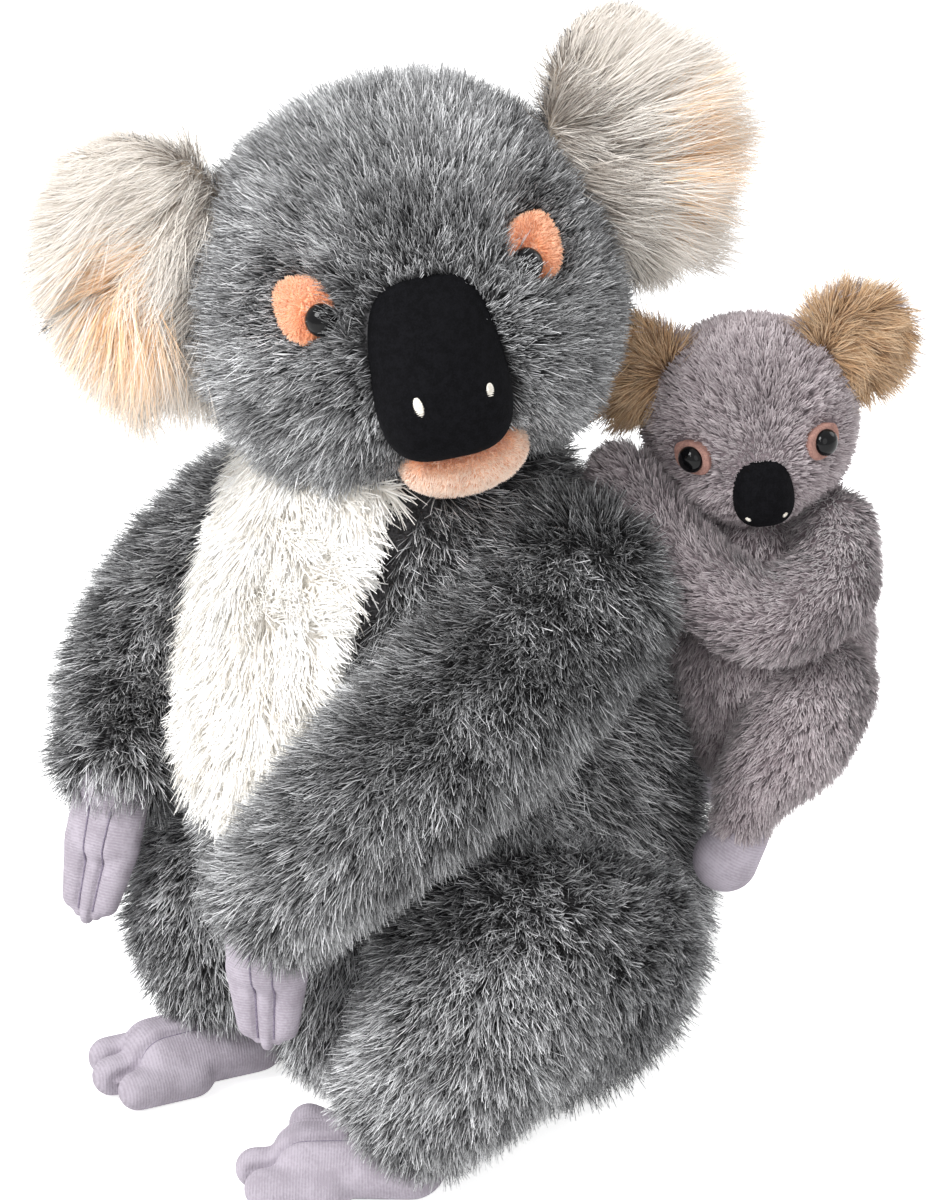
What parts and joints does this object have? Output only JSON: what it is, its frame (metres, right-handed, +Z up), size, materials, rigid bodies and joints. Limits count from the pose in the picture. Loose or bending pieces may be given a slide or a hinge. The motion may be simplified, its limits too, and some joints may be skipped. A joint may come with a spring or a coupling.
{
  "type": "plush koala",
  "caption": "Seated plush koala with grey pile fur and a white chest, carrying a small plush joey on its back; soft head, ears, arms and legs that give.",
  "frame": {"origin": "centre of the flat seat under the torso, on the surface that the koala sits on", "axes": "+Z up, -Y the way the torso faces, +X the koala's own left"},
  "size_m": [0.2383, 0.2436, 0.3655],
  "materials": {
    "grey_plush": "long silver-tipped pile",
    "white_curly_plush": "long curly pile",
    "cream_long_plush": "long straight pile",
    "lavender_velour": "ribbed short pile",
    "black_velour": "short dense pile",
    "peach_short_plush": "short pile",
    "white_thread": "satin stitch",
    "gloss_black_plastic": "polished",
    "white_plastic": "matte",
    "polyester_fibre": "loose fill",
    "mauve_minky": "short clumped pile",
    "tan_plush": "medium straight pile",
    "pink_felt": "felted"
  },
  "bodies": {
    "torso": {"torso_skin": "grey_plush", "chest_bib": "white_curly_plush", "torso_stuffing": "polyester_fibre"},
    "neck": {"neck_stuffing": "polyester_fibre"},
    "head": {"head_skin": "grey_plush", "head_stuffing": "polyester_fibre", "nose_pad": "black_velour", "left_nostril_stitch": "white_thread", "right_nostril_stitch": "white_thread", "lower_lip": "peach_short_plush", "left_eye_patch": "peach_short_plush", "left_eye": "gloss_black_plastic", "left_eye_washer": "white_plastic", "right_eye_patch": "peach_short_plush", "right_eye": "gloss_black_plastic", "right_eye_washer": "white_plastic"},
    "left_ear": {"left_ear_front": "cream_long_plush", "left_ear_back": "grey_plush"},
    "right_ear": {"right_ear_front": "cream_long_plush", "right_ear_back": "grey_plush"},
    "left_arm": {"left_arm": "grey_plush"},
    "left_hand": {"left_hand": "lavender_velour"},
    "right_arm": {"right_arm": "grey_plush"},
    "right_hand": {"right_hand": "lavender_velour"},
    "left_leg": {"left_leg": "grey_plush"},
    "left_foot": {"left_foot": "lavender_velour"},
    "right_leg": {"right_leg": "grey_plush"},
    "right_foot": {"right_foot": "lavender_velour"},
    "joey": {"joey_torso": "mauve_minky", "joey_left_arm": "mauve_minky", "joey_left_leg": "mauve_minky", "joey_left_foot": "lavender_velour", "joey_right_arm": "mauve_minky", "joey_right_leg": "mauve_minky", "joey_right_foot": "lavender_velour"},
    "joey_head": {"joey_head_skin": "mauve_minky", "joey_head_stuffing": "polyester_fibre", "joey_nose_pad": "black_velour", "joey_left_nostril_stitch": "white_thread", "joey_right_nostril_stitch": "white_thread", "joey_left_eye_patch": "pink_felt", "joey_left_eye": "gloss_black_plastic", "joey_left_eye_washer": "white_plastic", "joey_right_eye_patch": "pink_felt", "joey_right_eye": "gloss_black_plastic", "joey_right_eye_washer": "white_plastic"},
    "joey_left_ear": {"joey_left_ear_front": "tan_plush", "joey_left_ear_back": "mauve_minky"},
    "joey_right_ear": {"joey_right_ear_front": "tan_plush", "joey_right_ear_back": "mauve_minky"}
  },
  "joints": [
    {"name": "neck_turn", "type": "hinge", "parent": "torso", "child": "neck", "pos_m": [0, -0.019, 0.26629], "axis": [0, 0, 1], "range_deg": [-20, 20], "stiffness_Nm_per_rad": 4},
    {"name": "head_nod", "type": "hinge", "parent": "neck", "child": "head", "pos_m": [0, -0.019, 0.26629], "axis": [0.5299, 0.848, 0], "range_deg": [-6, 6], "stiffness_Nm_per_rad": 8},
    {"name": "left_ear_flap", "type": "hinge", "parent": "head", "child": "left_ear", "pos_m": [0.01987, 0.02806, 0.32001], "axis": [-0.2056, -0.1368, 0.969], "range_deg": [-15, 15], "stiffness_Nm_per_rad": 0.4},
    {"name": "right_ear_flap", "type": "hinge", "parent": "head", "child": "right_ear", "pos_m": [-0.03772, -0.06923, 0.29406], "axis": [-0.2056, -0.1368, 0.969], "range_deg": [-15, 15], "stiffness_Nm_per_rad": 0.4},
    {"name": "left_arm_swing", "type": "hinge", "parent": "torso", "child": "left_arm", "pos_m": [0.05843, -0.003, 0.188], "axis": [-1, 0, 0], "range_deg": [0, 25], "stiffness_Nm_per_rad": 4},
    {"name": "right_arm_swing", "type": "hinge", "parent": "torso", "child": "right_arm", "pos_m": [-0.05843, -0.003, 0.188], "axis": [-1, 0, 0], "range_deg": [0, 25], "stiffness_Nm_per_rad": 4},
    {"name": "left_wrist_flop", "type": "hinge", "parent": "left_arm", "child": "left_hand", "pos_m": [0.03443, -0.107, 0.101], "axis": [0.788, 0.6157, 0], "range_deg": [-15, 15], "stiffness_Nm_per_rad": 0.3},
    {"name": "right_wrist_flop", "type": "hinge", "parent": "right_arm", "child": "right_hand", "pos_m": [-0.06643, -0.093, 0.107], "axis": [0.8774, 0.4693, -0.0994], "range_deg": [-15, 15], "stiffness_Nm_per_rad": 0.3},
    {"name": "left_hip_flex", "type": "hinge", "parent": "torso", "child": "left_leg", "pos_m": [0.05849, -0.004, 0.065], "axis": [-1, 0, 0], "range_deg": [0, 5], "stiffness_Nm_per_rad": 10},
    {"name": "right_hip_flex", "type": "hinge", "parent": "torso", "child": "right_leg", "pos_m": [-0.05849, -0.004, 0.065], "axis": [-1, 0, 0], "range_deg": [0, 5], "stiffness_Nm_per_rad": 10},
    {"name": "left_ankle_flop", "type": "hinge", "parent": "left_leg", "child": "left_foot", "pos_m": [0.06449, -0.076, 0.028], "axis": [0.7431, -0.6691, 0], "range_deg": [-8, 8], "stiffness_Nm_per_rad": 1},
    {"name": "right_ankle_flop", "type": "hinge", "parent": "right_leg", "child": "right_foot", "pos_m": [-0.03749, -0.064, 0.027], "axis": [0.9703, -0.2419, 0], "range_deg": [-8, 8], "stiffness_Nm_per_rad": 1},
    {"name": "joey_sway", "type": "hinge", "parent": "torso", "child": "joey", "pos_m": [0.04843, 0.04682, 0.159], "axis": [0, 0, 1], "range_deg": [-4, 4], "stiffness_Nm_per_rad": 5},
    {"name": "joey_head_turn", "type": "hinge", "parent": "joey", "child": "joey_head", "pos_m": [0.06707, 0.06904, 0.22], "axis": [0, 0, 1], "range_deg": [-12, 12], "stiffness_Nm_per_rad": 1},
    {"name": "joey_left_ear_flap", "type": "hinge", "parent": "joey_head", "child": "joey_left_ear", "pos_m": [0.08462, 0.08973, 0.25952], "axis": [0.037, -0.1805, 0.9829], "range_deg": [-12, 12], "stiffness_Nm_per_rad": 0.1},
    {"name": "joey_right_ear_flap", "type": "hinge", "parent": "joey_head", "child": "joey_right_ear", "pos_m": [0.04797, 0.04278, 0.25228], "axis": [0.037, -0.1805, 0.9829], "range_deg": [-12, 12], "stiffness_Nm_per_rad": 0.1}
  ]
}
